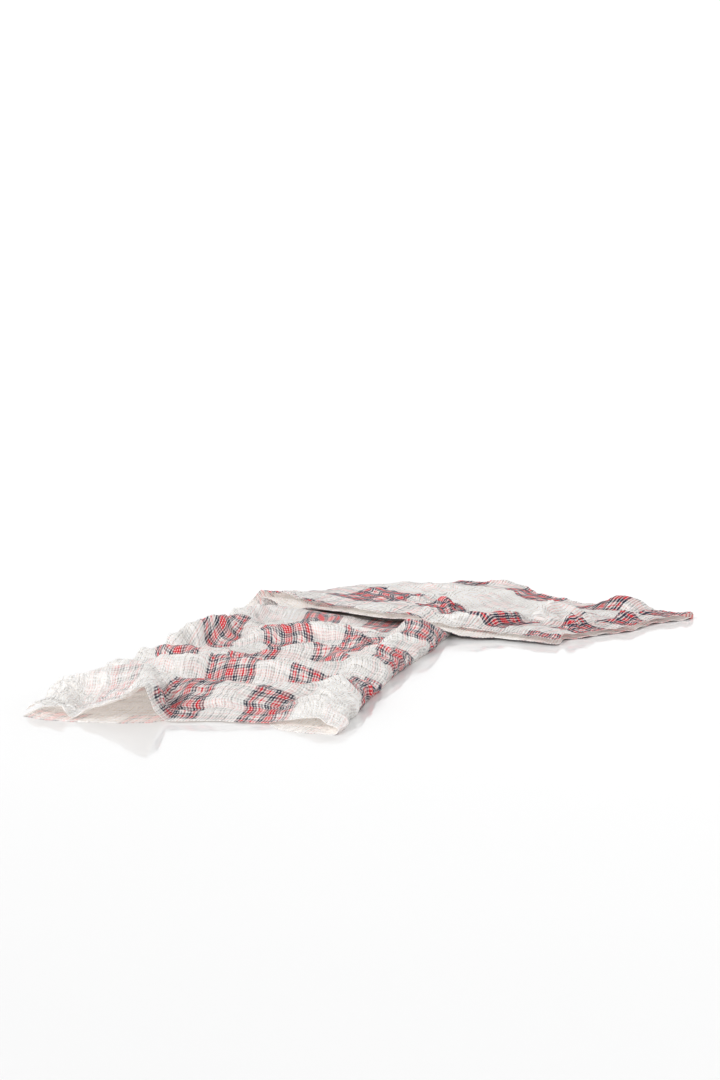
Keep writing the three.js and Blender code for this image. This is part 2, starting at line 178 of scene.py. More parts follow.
def look_up(table, column, x):
    """A column of a table, where its first column is x."""
    places, values = next(iter(table.values())), table[column]
    value = values[0] + 0.0 * x
    for i in range(1, len(places)):
        value = value + (values[i] - values[i - 1]) * smooth(x, places[i - 1], places[i])
    return value


def direction(degrees):
    return np.array((math.cos(math.radians(degrees)), math.sin(math.radians(degrees))))


NEAR = (FRONT_CORNER, direction(LEG_ANGLE), direction(LEG_ANGLE - 90))
FAR = (FRONT_CORNER + LEG_LENGTH * NEAR[1], direction(FAR_ANGLE), direction(FAR_ANGLE + 90))
FOLD_NORMAL = direction(FOLD_ANGLE + 90)


def to_plan(leg, along, across):
    corner, way, side = leg
    return corner[0] + way[0] * along + side[0] * across, corner[1] + way[1] * along + side[1] * across


def from_plan(leg, x, y):
    corner, way, side = leg
    dx, dy = x - corner[0], y - corner[1]
    return dx * way[0] + dy * way[1], dx * side[0] + dy * side[1]


print("far leg starts at", FAR[0].round(1))

# %% [markdown]
# ## Folds
#
# Each fold has a crest through three places, a height at each, and a width on either side, because most
# folds are steeper on one side than on the other. Folds that meet are blended by the highest of them,
# slightly rounded, which is how one fold of cloth runs into the next.

# %% Main folds: crest, heights, width to the left and to the right
NEAR_FOLDS = {
    "front arch": ((-40, 212), (50, 194), (150, 150), (60, 60, 50), 34, 74),
    "slope to the arch": ((-30, 138), (30, 138), (90, 120), (22, 26, 26), 50, 54),
    "front corner": ((-25, 20), (10, 40), (110, 24), (15, 18, 26), 40, 34),
    "hump over the arch": ((100, 22), (140, 85), (140, 150), (33, 54, 52), 75, 46),
    "first long fold": ((150, 150), (160, 300), (222, 430), (50, 40, 36), 80, 42),
    "mouth by the roll": ((-30, 462), (50, 462), (130, 444), (21, 24, 30), 44, 92),
    "second fold, open side": ((310, 18), (284, 105), (325, 195), (25, 40, 41), 62, 42),
    "second fold, roll side": ((325, 190), (340, 310), (405, 425), (41, 37, 31), 70, 40),
    "third fold, open side": ((405, 34), (404, 85), (404, 150), (26, 36, 34), 46, 38),
    "third fold, low middle": ((402, 150), (412, 205), (415, 240), (27, 27, 26), 40, 34),
    "third fold, roll side": ((425, 240), (482, 325), (432, 400), (29, 41, 28), 66, 38),
    "edge hump, rising": ((500, 40), (556, 54), (618, 84), (18, 43, 43), 40, 52),
    "edge hump, turning": ((612, 80), (668, 118), (626, 195), (43, 42, 20), 56, 42),
    "fourth fold": ((606, 165), (682, 275), (630, 365), (26, 37, 22), 74, 40),
    "fold at the tunnel": ((775, 58), (852, 112), (895, 255), (27, 27, 16), 60, 45),
    "low swell": ((735, 150), (748, 240), (712, 370), (12, 17, 14), 50, 50),
}
FAR_FOLDS = {
    "crease over the roll": ((390, 110), (415, 138), (450, 112), (30, 35, 30), 28, 34),
    "front roll": ((500, 60), (545, 105), (572, 175), (20, 31, 34), 34, 26),
    "middle of the tail": ((590, 190), (615, 240), (660, 275), (28, 36, 22), 36, 34),
    "upper front pucker": ((640, 165), (680, 186), (730, 200), (24, 27, 12), 26, 26),
    "lower front pucker": ((690, 105), (712, 146), (745, 165), (16, 29, 12), 24, 24),
    "end pucker": ((718, 210), (748, 236), (775, 248), (22, 28, 6), 24, 24),
    "tip pucker": ((735, 300), (762, 346), (800, 410), (24, 31, 10), 30, 26),
    "back hump": ((630, 360), (690, 380), (722, 415), (20, 41, 14), 40, 22),
    "back crest, left": ((125, 150), (165, 215), (215, 262), (27, 34, 30), 46, 34),
    "back crest, right": ((330, 372), (375, 402), (425, 410), (24, 36, 20), 60, 24),
    "slack over the leg": ((300, 180), (340, 230), (400, 250), (22, 27, 20), 40, 40),
}

# %% Height of the folds at a place
def hill(share):
    """1 at a crest and 0 at its foot."""
    return 0.5 * (1 + np.cos(np.pi * np.clip(share, 0, 1)))


def through(values, k):
    """A soft curve through three values, for k from 0 to 1."""
    first, middle, last = values
    control = 2 * middle - 0.5 * (first + last)
    return (1 - k) ** 2 * first + 2 * k * (1 - k) * control + k * k * last


def fold_height(fold, along, across):
    *crest, heights, left, right = fold
    steps = np.arange(CREST_STEPS + 1) / CREST_STEPS
    line_along = through([place[0] for place in crest], steps)
    line_across = through([place[1] for place in crest], steps)
    nearest = np.full(np.shape(along), np.inf)
    k = np.zeros_like(nearest)
    side = np.zeros_like(nearest)
    for i in range(CREST_STEPS):
        da, dc = line_along[i + 1] - line_along[i], line_across[i + 1] - line_across[i]
        pa, pc = along - line_along[i], across - line_across[i]
        share = np.clip((pa * da + pc * dc) / (da * da + dc * dc), 0, 1)
        distance = np.hypot(pa - share * da, pc - share * dc)
        closer = distance < nearest
        nearest = np.where(closer, distance, nearest)
        k = np.where(closer, (i + share) / CREST_STEPS, k)
        side = np.where(closer, da * pc - dc * pa, side)
    return through(heights, k) * hill(nearest / np.where(side < 0, right, left))


def blend(heights):
    return sum(np.maximum(height, 0) ** CRISPNESS for height in heights) ** (1 / CRISPNESS)


print(len(NEAR_FOLDS), "folds in the near leg,", len(FAR_FOLDS), "in the far leg")

# %% [markdown]
# ## Small creases
#
# The main folds carry smaller ones that are just as much part of the look: a sharp trough where the
# upper layer dips to the surface beside the arch, a crumpled front corner, and the puckers of the far
# end. They are laid in the same way, a trough by a height below zero.

# %% Small creases: crest, heights, width to the left and to the right
NEAR_CREASES = {
    "trough beside the arch": ((-16, 87), (40, 70), (148, 40), (-4, -9, -4), 20, 18),
    "fan, left of the trough": ((-8, 72), (30, 50), (60, 22), (-5, -8, -5), 10, 10),
    "fan, right of the trough": ((2, 112), (50, 104), (120, 84), (5, 8, 5), 12, 14),
    "crease up the arch": ((0, 147), (34, 150), (105, 131), (3, 6, 5), 10, 14),
    "corner crumple, outer": ((-8, 8), (24, 22), (66, 14), (6, 10, 6), 9, 10),
    "corner crumple, inner": ((-12, 34), (12, 40), (48, 52), (-8, -9, -5), 10, 9),
    "behind the arch": ((96, 196), (120, 240), (124, 300), (-3, -5, -3), 14, 12),
    "above the roll mouth": ((70, 380), (96, 420), (104, 470), (3, 5, 3), 12, 12),
    "hollow of the first fold": ((186, 60), (220, 150), (232, 250), (2, 5, 2), 10, 12),
    "on the second fold": ((360, 60), (352, 140), (372, 220), (3, 5, 3), 12, 12),
    "beside the third fold": ((452, 90), (470, 170), (462, 240), (3, 5, 3), 11, 12),
    "across the middle": ((520, 200), (548, 290), (520, 380), (4, 6, 4), 13, 13),
    "below the fourth fold": ((584, 240), (600, 320), (592, 400), (3, 5, 3), 10, 12),
    "above the fourth fold": ((700, 100), (724, 190), (752, 260), (3, 5, 3), 12, 12),
}
FAR_CREASES = {
    "over the near leg": ((244, 17), (343, 43), (370, 125), (2, 5, 3), 20, 15),
    "valley by the roll": ((373, 17), (416, 20), (480, -7), (-3, -5, -2), 18, 16),
    "front band": ((400, 69), (466, 55), (530, 68), (3, 6, 4), 20, 15),
    "pleat": ((405, 140), (465, 96), (520, 82), (3, 5, 3), 26, 13),
    "valley before the tail": ((545, 176), (600, 186), (664, 186), (-4, -8, -4), 16, 18),
    "tail, long": ((607, 228), (683, 173), (728, 141), (4, 7, 4), 13, 14),
    "tail, middle": ((685, 205), (718, 203), (761, 193), (4, 7, 3), 12, 13),
    "tail, back": ((736, 257), (731, 315), (783, 277), (4, 6, 3), 14, 14),
    "tail, tip": ((740, 367), (769, 385), (817, 404), (3, 5, 2), 14, 12),
    "front edge, left": ((190, 4), (208, 24), (222, 60), (2, 4, 2), 13, 12),
    "back, first": ((200, 180), (250, 260), (330, 330), (2, 5, 2), 14, 16),
    "back, second": ((260, 120), (330, 190), (400, 310), (2, 5, 3), 12, 15),
}


def crease_height(creases, along, across):
    return sum(fold_height(crease, along, across) for crease in creases.values())


print(len(NEAR_CREASES) + len(FAR_CREASES), "small creases")

# %% [markdown]
# ## The near leg
#
# Two layers lie on the surface. The lower one is flat, and the upper one is lifted into folds. They are
# one cloth, joined by a round roll on the right, and they are drawn together at the back, where they go
# into the slanting fold. Under the far leg the folds are pressed lower by its weight.

# %% Heights in the near leg
def roll_edge(along):
    return look_up(LENGTHWISE_FOLD, "across", along)


def fold_start(across):
    bow = look_up(SLANTING_FOLD_BOW, "along", across)
    return LEG_LENGTH + FOLD_SLOPE * across + bow - FOLD_RADIUS / math.cos(math.atan(FOLD_SLOPE))


def pinch_share(along, across):
    return smooth(along - fold_start(across), -PINCH_LENGTH, 0)


def near_height(along, across):
    past_roll = (roll_edge(along) - ROLL_WIDTH - across) / ROLL_SHOULDER
    roll = look_up(LENGTHWISE_FOLD, "height", along) * hill(past_roll)
    folds = [fold_height(fold, along, across) for fold in NEAR_FOLDS.values()]
    loose = blend(folds + [roll, REST_HEIGHT + 0 * along])
    covered = smooth(along - (LEG_LENGTH - COVER_SLOPE * across), -COVER_BLEND, COVER_BLEND)
    pressed = np.maximum(loose * (1 - COVER_PRESS * covered), REST_HEIGHT)
    return mix(pressed, PINCH, pinch_share(along, across))


# %% Columns across the cloth: under layer, lip and roll of the lengthwise fold, over layer
UNDER, LIP, ROLL, OVER = range(4)
COLUMN_CELLS = (66, 4, 9, 66)
HEM_SHARES = (0, 0.006, 0.012, 0.016)  # close columns in the hem, so that its step shows
PAST_HEM_SHARE = 0.026


def pick(zone, under, lip, roll, over):
    return np.select([zone == UNDER, zone == LIP, zone == ROLL], [under, lip, roll], over)


def even_steps(cells):
    return np.arange(cells) / cells


def make_columns():
    inner = COLUMN_CELLS[UNDER] - len(HEM_SHARES)
    spread = np.concatenate([HEM_SHARES, np.linspace(PAST_HEM_SHARE, 1, inner + 1)])
    lip, roll = even_steps(COLUMN_CELLS[LIP]), even_steps(COLUMN_CELLS[ROLL])
    shares = [spread[:-1], lip, roll, 1 - spread[::-1]]
    zones = [np.full(len(share), zone) for zone, share in enumerate(shares)]
    return np.concatenate(zones), np.concatenate(shares)


print(sum(COLUMN_CELLS) + 1, "columns across the cloth")

# %% A section across the near leg
ROLL_MOUTH = 15  # the roll's height at the front hem
HEM_DEPTH = 75  # how far in from the front hem it sets the shape
TUCK = 27  # beside the arch the lower layer ends this far behind the upper one's hem
TUCK_BEGINS = (200, 238)
TUCK_ENDS = (385, 430)


def tucked_share(across):
    return smooth(across, *TUCK_BEGINS) * (1 - smooth(across, *TUCK_ENDS))


def near_section(zone, share, progress):
    is_under = zone <= LIP

    def along_at(across):
        under = look_up(FRONT_EDGE_UNDER, "along", across) + TUCK * tucked_share(across)
        front = np.where(is_under, under, look_up(FRONT_EDGE_OVER, "along", across))
        return front + progress * (fold_start(across) - front)

    turn = share * np.pi / 2
    first = pick(zone, share, 1.0, 1.0, 1 - share) * FOLDED_WIDTH
    guess = along_at(first)
    pinched = pinch_share(guess, first)
    edge = roll_edge(guess)
    fullness = look_up(LENGTHWISE_FOLD, "height", guess)
    lip = mix(np.minimum(LIP_RADIUS, LIP_SHARE * fullness), PINCH / 2, pinched)
    roll = mix(ROLL_WIDTH, PINCH / 2, pinched)
    open_under = look_up(OPEN_EDGE_UNDER, "across", guess)
    open_over = look_up(OPEN_EDGE_OVER, "across", guess)
    across = pick(
        zone,
        mix(open_under, edge - lip, share),
        edge - lip + lip * np.sin(turn),
        edge - roll + roll * np.cos(turn),
        mix(edge - roll, open_over, share),
    )
    along = along_at(across)
    roll_top = near_height(along_at(edge - roll), edge - roll)
    from_hem = along_at(edge - roll) - look_up(FRONT_EDGE_OVER, "along", edge - roll)
    roll_top = mix(np.minimum(roll_top, ROLL_MOUTH), roll_top, smooth(from_hem, 0, HEM_DEPTH))
    lip_rise = lip * (1 - np.cos(turn))
    roll_rise = lip + (roll_top - lip) * np.sin(turn)
    return along, across, pick(zone, 0.0 * along, lip_rise, roll_rise, near_height(along, across))


print("sections run along", LEG_LENGTH, "mm of open edge")

# %% The upper layer's front hem: it stands up in the arch, and touches the surface on both sides of it
FRONT_HEM = dict(
    across=(0, 6, 38, 64, 75, 85, 96, 106, 128, 147, 165, 178, 193, 200, 207, 214, 236, 385, 427, 463, 489),
    height=(7, 11, 15, 15, 9, 0.5, 8, 12, 19, 26, 34, 44, 56, 59, 54, 24, 1, 1, 8, 12, 14),
)
CREASE_AT_HEM = 0.25
HEM_GAP = 2.2  # between the middles of two hems that lie on each other
TOUCHDOWN = (4, 20)  # where nothing is under the upper hem, it leaves the surface over this stretch
PRESSING = (-120, -20)  # from the far leg's open edge: where its weight starts, and is full


def under_far_leg(along, across):
    """1 where the far leg presses the near leg's small creases flat."""
    return smooth(along - (LEG_LENGTH - COVER_SLOPE * across), *PRESSING)


def near_point(zone, share, progress):
    along, across, rise = near_section(zone, share, progress)
    from_hem = along - look_up(FRONT_EDGE_OVER, "along", across)
    inland = smooth(from_hem, 0, HEM_DEPTH)
    clearance = HEM_GAP * (1 - tucked_share(across) * (1 - smooth(from_hem, *TOUCHDOWN)))
    hem_height = look_up(FRONT_HEM, "height", across)
    freedom = mix(CREASE_AT_HEM, 1, inland) * (1 - under_far_leg(along, across))
    creases = crease_height(NEAR_CREASES, along, across) * freedom
    rise = np.where(zone == OVER, np.maximum(mix(hem_height, rise, inland) + creases, clearance), rise)
    return np.stack([*to_plan(NEAR, along, across), rise], -1)


print("front hem up to", max(FRONT_HEM["height"]), "mm high")

# %% [markdown]
# ## The slanting fold and the far leg
#
# Every layer turns half a circle about one line, the lowest layer outermost, so what lay underneath comes
# out on top. The far leg then lies on the near leg's folds, comes down past the roll, and ends on the
# surface in a row of puckers. It has its own mouth, where its two open edges part.

# %% The slanting fold
def turn_point(zone, share, progress):
    along, across, rise = near_section(zone, share, 1.0 + 0 * progress)
    angle = np.pi * progress
    radius = FOLD_RADIUS - rise
    edge_step = OPEN_EDGE_OVER["across"][-1] - OPEN_EDGE_UNDER["across"][-1]
    near_edge = np.where(zone == UNDER, 1 - share, 0.0)
    drawn_in = edge_step * near_edge * smooth(progress, 0, 1)
    shift = fold_start(across + drawn_in) - fold_start(across)
    x, y = to_plan(NEAR, along + shift, across + drawn_in)
    reach = radius * np.sin(angle)
    height = FOLD_RADIUS - radius * np.cos(angle)
    return np.stack([x + FOLD_NORMAL[0] * reach, y + FOLD_NORMAL[1] * reach, height], -1)


# %% The far leg
def support_height(x, y):
    """What the far leg lies on: the near leg's folds, sloping to the surface past its edge."""
    along, across = from_plan(NEAR, x, y)
    edge = roll_edge(along)
    height = near_height(along, np.minimum(across, edge - ROLL_WIDTH))
    return height * (1 - smooth(across, edge + SLACK_FROM, edge + SLACK_TO))


def far_heights(along, across):
    base = look_up(FAR_HEIGHT, "height", along)
    mouth = look_up(FAR_HEIGHT, "mouth", along) * hill(across / MOUTH_DEPTH)
    support = support_height(*to_plan(FAR, along, across))
    low = np.maximum(np.maximum(base - LAYER_GAP - mouth, support + BEARING_GAP), 0)
    folds = [fold_height(fold, along, across) for fold in FAR_FOLDS.values()]
    top = blend([np.maximum(base, low + LAYER_GAP)] + folds)
    return low, np.maximum(top, low + LAYER_GAP)


def far_place(zone, share, progress):
    """Along and across in the far leg, and where the cloth left the slanting fold."""
    start = turn_point(zone, share, 1.0 + 0 * progress)
    entry_along, entry_across = from_plan(FAR, start[..., 0], start[..., 1])
    is_roll = (zone == LIP) | (zone == ROLL)
    is_low = (zone == OVER) | (zone == ROLL)
    across_share = pick(zone, share, 1.0, 1.0, 1 - share)
    along = mix(entry_along, look_up(FAR_END, "along", across_share), progress)
    low_edge = look_up(FAR_OPEN_EDGE_LOW, "across", along)
    open_edge = np.where(is_low, low_edge, look_up(FAR_OPEN_EDGE_TOP, "across", along))
    back = look_up(FAR_BACK_FOLD, "across", along)
    turn = np.where(zone == LIP, share - 1, share) * np.pi / 2
    flat = mix(open_edge, back - BACK_ROLL_WIDTH, across_share)
    settled = np.where(is_roll, back - BACK_ROLL_WIDTH * (1 - np.cos(turn)), flat)
    across = mix(entry_across, settled, smooth(progress, 0, SETTLED_BY))
    return along, across, start[..., 2], entry_along, turn


MOUTH_END = 225  # past here the far leg's two open edges lie on each other
MOUTH_CLOSING = 70
MOUTH_MIDDLE = 95
MOUTH_REACH = 125
CLOSING_WIDTH = 45
MOUTH_LIFT = 9
FAR_CREASE_RISE = 2.1
SCALLOP = 4.5  # the end hem is gathered into small waves
SCALLOP_PITCH = 47
SCALLOP_DRIFT = 0.6  # and their pitch drifts a little
SCALLOP_DRIFT_LENGTH = 31
LOW_SCALLOP = 0.6  # the lower layer's share of the waves


def far_hems(along, across, progress, low, top):
    """The heights of both layers near their hems: a mouth on the left, closed past it."""
    inside = across - look_up(FAR_OPEN_EDGE_TOP, "across", along)
    rim = 1 - smooth(inside, 0, CLOSING_WIDTH)
    mouth = hill((along - MOUTH_MIDDLE) / MOUTH_REACH) * hill(inside / MOUTH_DEPTH)
    top = top + MOUTH_LIFT * mouth + FAR_CREASE_RISE * crease_height(FAR_CREASES, along, across)
    closed = rim * smooth(along, MOUTH_END - MOUTH_CLOSING, MOUTH_END)
    ending = smooth(progress, END_DROPS_FROM, 1)
    drift = SCALLOP_DRIFT * np.sin(across / SCALLOP_DRIFT_LENGTH)
    wave = SCALLOP * (0.5 + 0.5 * np.sin(across * 2 * np.pi / SCALLOP_PITCH + drift))
    low = mix(low, LOW_SCALLOP * wave, ending)
    top = mix(top, low + HEM_GAP, np.maximum(closed, ending))
    return low, np.maximum(top, low + HEM_GAP)


def far_point(zone, share, progress):
    along, across, start_height, entry_along, turn = far_place(zone, share, progress)
    low, top = far_hems(along, across, progress, *far_heights(along, across))
    around = (top + low) / 2 - (top - low) / 2 * np.sin(turn)
    height = pick(zone, top, around, around, low)
    clear = smooth(along - entry_along, 0, LANDING_LENGTH)
    return np.stack([*to_plan(FAR, along, across), mix(start_height, height, clear)], -1)


# %% [markdown]
# ## Rows of the whole cloth
#
# The cloth is worked out as a grid: rows from the front hem to the far hem, columns from one long hem
# round the lengthwise fold to the other. One grid for one cloth keeps it in one piece, and the grid's own
# distances later tell the woven check where it is on the thread.

# %% The middle of the cloth as a grid of points
ROW_CELLS = dict(near=184, turn=8, far=128)
HEM_STEPS = (0, 0.0027, 0.0054, 0.0075)  # close rows in the front and end hems
PAST_HEM_STEP = 0.012


def make_grid():
    zone, share = make_columns()
    inner = ROW_CELLS["near"] - len(HEM_STEPS)
    near = np.concatenate([HEM_STEPS, np.linspace(PAST_HEM_STEP, 1, inner + 1)[:-1]])
    turn = even_steps(ROW_CELLS["turn"])
    inner = ROW_CELLS["far"] - len(HEM_STEPS)
    far = np.concatenate([np.linspace(0, 1 - PAST_HEM_STEP, inner + 1), 1 - np.array(HEM_STEPS[::-1])])
    rows, lifts = [], []
    for leg, (point, steps) in enumerate(((near_point, near), (turn_point, turn), (far_point, far))):
        progress, zones = np.meshgrid(steps, zone, indexing="ij")
        shares = np.broadcast_to(share, zones.shape)
        rows.append(point(zones, shares, progress))
        lifts.append(outward_share(leg, zones, shares, progress))
    return np.concatenate(rows), np.concatenate(lifts)


# How far a crease stands out of each layer. The outer layers take all of it. The layers under them
# take a tenth of it the other way, which keeps them clear of the layer on top.
FREE, PRESSED = 1.0, -0.1


def outward_share(leg, zone, share, progress):
    before = pick(zone, PRESSED, mix(PRESSED, FREE, share), FREE, FREE)
    after = pick(zone, FREE, FREE, mix(FREE, PRESSED, share), PRESSED)
    return mix(before, after, smooth(progress, 0, 1) if leg == 1 else float(leg == 2))


grid, lift = make_grid()
print("grid", grid.shape, "lowest", grid.min((0, 1)).round(1), "highest", grid.max((0, 1)).round(1))

# %% Distances along the threads
# The check's distances are scaled to these totals. They are typed in, about 5% under the flat size.
CLOTH_WIDTH = 1040
CLOTH_LENGTH = 1780


def thread_lengths(points, axis, total):
    steps = np.linalg.norm(np.diff(points, axis=axis), axis=-1)
    start = np.zeros_like(np.take(steps, [0], axis=axis))
    lengths = np.concatenate([start, np.cumsum(steps, axis=axis)], axis=axis)
    return lengths / np.take(lengths, [-1], axis=axis) * total


across_thread = thread_lengths(grid, 1, CLOTH_WIDTH)
along_thread = thread_lengths(grid, 0, CLOTH_LENGTH)
print("check distances scaled to", CLOTH_WIDTH, "by", CLOTH_LENGTH, "mm")

# %% [markdown]
# ## Where the check's bar groups fall
#
# The check repeats every 149 mm of thread, but in the photograph the repeats aren't evenly spaced.
# Gathers and hidden pleats that take up thread may be the cause. An even repeat would be simpler, but its
# groups would fall in the wrong places. So short tables, one for each part of the cloth, say which repeat
# falls at which distance on the grid. The places are listed one by one, and the rows run a little askew.

# %% Where the check's repeats fall
REPEAT = 149
NEAR_ROWS = dict(place=(-120, 80, 297, 455, 690, 925, 1075), repeat=(-1, 0, 1, 2, 3, 4, 5))
ROLL_ROWS = dict(place=(-170, -30, 239, 460, 690, 925, 1075), repeat=(-1, 0, 1, 2, 3, 4, 5))
FAR_ROWS = dict(
    place=(1000, 1075, 1160, 1305, 1440, 1615, 1745, 1880),
    repeat=(4.5, 5, 5.66, 6.34, 7, 8, 9, 10),
)
NEAR_COLUMNS = dict(place=(-97, 50, 197, 345, 510, 635, 787, 940, 1087), repeat=range(9))
FAR_COLUMNS = dict(
    place=(-60, 110, 157, 205, 437, 485, 635, 935, 1082),
    repeat=(0.9, 1.7, 2, 2.32, 3.68, 4, 5, 7, 8),
)
FIRST_COLUMNS = dict(
    place=(-60, 84, 245, 437, 485, 635, 935, 1082),
    repeat=(0.9, 1.66, 2.34, 3.68, 4, 5, 7, 8),
)
END_COLUMNS = dict(place=(-137, 10, 157, 300, 485, 640, 787, 935, 1082), repeat=range(9))
PAST_ROLL = (515, 640)  # across the cloth, from the roll's rows to the upper layer's
ROW_STEP = 30  # the rows shift by this past the roll
ROW_SKEW = 0.19
COLUMN_SKEW = 0.05
SKEW_START = 80
INTO_FAR_LEG = (960, 1100)  # along the cloth, from one table of columns to the next
FIRST_TO_FAR = (1330, 1420)
FAR_TO_END = (1640, 1700)
TAIL_START = 1400  # from here the far leg's columns run askew, most at the open edge
TAIL_SKEW = 0.3
TAIL_WIDTH = 490


def repeats(table, distance):
    return np.interp(distance, table["place"], table["repeat"]) * REPEAT


def thread_places(across, along):
    in_far_leg = smooth(along, *INTO_FAR_LEG)
    past_roll = smooth(across, *PAST_ROLL)
    level = along - ROW_SKEW * np.maximum(across - PAST_ROLL[1], 0) + ROW_STEP * past_roll
    near_rows = mix(repeats(ROLL_ROWS, along), repeats(NEAR_ROWS, level), past_roll)
    rows = mix(near_rows, repeats(FAR_ROWS, along), in_far_leg)
    near_columns = repeats(NEAR_COLUMNS, across - COLUMN_SKEW * (along - SKEW_START))
    slant = TAIL_SKEW * np.maximum(along - TAIL_START, 0) * np.clip(1 - across / TAIL_WIDTH, 0, 1)
    first_columns = repeats(FIRST_COLUMNS, across)
    far_columns = repeats(FAR_COLUMNS, across + slant)
    far_columns = mix(first_columns, far_columns, smooth(along, *FIRST_TO_FAR))
    far_columns = mix(far_columns, repeats(END_COLUMNS, across), smooth(along, *FAR_TO_END))
    return mix(near_columns, far_columns, in_far_leg), rows


thread_columns, thread_rows = thread_places(across_thread, along_thread)
print("check repeats", (thread_columns.max() / REPEAT).round(1), "by", (thread_rows.max() / REPEAT).round(1))

# %% [markdown]
# ## Crinkle
#
# Gauze woven with tight and loose threads dries crumpled: it has many shallow creases, longer than they
# are wide, that run at all angles round the length of the scarf. A bump in the finish could show them, but
# the edges and shadows would stay smooth, so they are laid on the sheet as soft random ridges. The random
# numbers have fixed seeds, so the cloth comes out the same each time. It is lower where layers lie close.

# %% Random ridges on the thread grid
NOISE_START = 40  # where the cloth lies in the noise
RIDGE_POWER = 1.25


def soft_noise(x, y, seed):
    """Smooth random values from 0 to 1, one new value at each whole number of x and y."""
    size = 128
    values = np.random.default_rng(seed).random((size, size))
    x0, y0 = np.floor(x).astype(int), np.floor(y).astype(int)
    fx, fy = x - x0, y - y0
    fx, fy = fx * fx * (3 - 2 * fx), fy * fy * (3 - 2 * fy)
    x0, x1, y0, y1 = x0 % size, (x0 + 1) % size, y0 % size, (y0 + 1) % size
    return mix(mix(values[x0, y0], values[x1, y0], fx), mix(values[x0, y1], values[x1, y1], fx), fy)


def ridges(width, length, angle, seed):
    """Creases of one width and length, at an angle from the threads, from 0 in a hollow to 1."""
    way = direction(angle)
    x = (across_thread * way[0] + along_thread * way[1]) / width
    y = (along_thread * way[0] - across_thread * way[1]) / length
    noise = soft_noise(x + NOISE_START, y + NOISE_START, seed)
    return (1 - np.abs(2 * noise - 1)) ** RIDGE_POWER


CREASES = (
    # width, length, angle from the threads, height, seed
    (32, 120, 82, 5.6, 11),
    (23, 75, 106, 4.6, 12),
    (17, 46, 66, 3.4, 13),
    (14, 30, 96, 2.0, 14),
    (16, 44, 22, 2.8, 15),
    (60, 70, 45, 1.6, 16),
)
crinkle = sum(height * ridges(width, length, angle, seed) for width, length, angle, height, seed in CREASES)
# How high each point lies in the crinkle, from 0 to 1. The material paints shade in its hollows and a
# highlight on its crests from it.
crest = crinkle / crinkle.max()
edge_distance = np.minimum.reduce(
    [across_thread, CLOTH_WIDTH - across_thread, along_thread, CLOTH_LENGTH - along_thread]
)
HEM_WIDTH = 8
HEM_STEP = 2
FRILL_WIDTH = 30  # the hem draws the cloth into short puckers this far in
FRILL_HEIGHT = 3.5
FRILL_PITCH = 17
FRILL_SEED = 21
hem = 1 - smooth(edge_distance, HEM_WIDTH - HEM_STEP, HEM_WIDTH)
frill = 1 - smooth(edge_distance, 0, FRILL_WIDTH)
puckers = soft_noise(across_thread / FRILL_PITCH, along_thread / FRILL_PITCH, FRILL_SEED)
crinkle = crinkle + frill * FRILL_HEIGHT * puckers
print("crinkle up to", round(float(crinkle.max()), 1), "mm, mean", round(float(crinkle.mean()), 1))

# %% Lay the crinkle on the grid
def grid_normals(points):
    padded = np.pad(points, ((1, 1), (1, 1), (0, 0)), mode="edge")
    down = padded[2:, 1:-1] - padded[:-2, 1:-1]
    side = padded[1:-1, 2:] - padded[1:-1, :-2]
    normal = np.cross(down, side)
    return normal / np.linalg.norm(normal, axis=-1, keepdims=True)


# Over a hollow a crease may also sink. Where layers lie on each other it rises, and less far.
SINK = 10
SINK_LYING = 2
LYING = 0.6  # the crinkle's share where layers lie on each other
COVERED = 0.12  # under the far leg
FRONT_HEM_SHARE = 0.15  # and at the front hem
FRONT_HEM_REACH = 40
HEADROOM = (5, 14)  # room between the layers, from lying to free
near_rows = np.arange(len(grid))[:, None] < ROW_CELLS["near"]
near_along, near_across = from_plan(NEAR, grid[..., 0], grid[..., 1])
is_covered = under_far_leg(near_along, near_across) * near_rows
headroom = np.abs(grid[:, ::-1, 2] - grid[:, :, 2])
loose = smooth(headroom, *HEADROOM) * (lift > 0.5) * (1 - is_covered)
at_front = 1 - smooth(along_thread, 0, FRONT_HEM_REACH)
lying = mix(LYING, LYING * FRONT_HEM_SHARE, at_front) * mix(1, COVERED, is_covered)
crinkle = crinkle * mix(lying, 1, loose) - mix(SINK_LYING * (1 - frill), SINK, loose)
grid = grid + grid_normals(grid) * (crinkle * lift)[..., None]
print("crinkled box", grid.min((0, 1)).round(1), grid.max((0, 1)).round(1))

# %% [markdown]
#
# In some places the photograph shows a pale field where the repeat brings a bar group. Why isn't known.
# The even check could be left as it is, but it would then show groups that aren't there, so it is faded
# one rectangle of cloth at a time. Seen from above, these places look washed out. In the far leg
# the check shows darker, and is made a third stronger.

PALE_PLACES = (
    # across from, to, along from, to, share
    (950, 1060, -60, 215, 0.85),
    (850, 950, -60, 215, 0.66),
    (900, 1060, 230, 380, 0.8),
    (905, 1060, 860, 985, 0.8),
    (475, 590, -60, 130, 0.85),
    (275, 425, 1075, 1400, 0.85),
    (215, 425, 1400, 1640, 0.85),
)
PALE_BLEND = 24
FAR_LEG_START = (1040, 1120)
FAR_GAIN = 0.35


def between(values, low, high):
    return smooth(values, low - PALE_BLEND, low) * (1 - smooth(values, high, high + PALE_BLEND))


pale = np.maximum.reduce([
    share * between(across_thread, *place[:2]) * between(along_thread, *place[2:])
    for *place, share in PALE_PLACES
])
far_share = smooth(along_thread, *FAR_LEG_START)
strength = (1 - pale) * (1 + FAR_GAIN * far_share)
print(len(PALE_PLACES), "pale places, strongest check", round(float(strength.max()), 2))

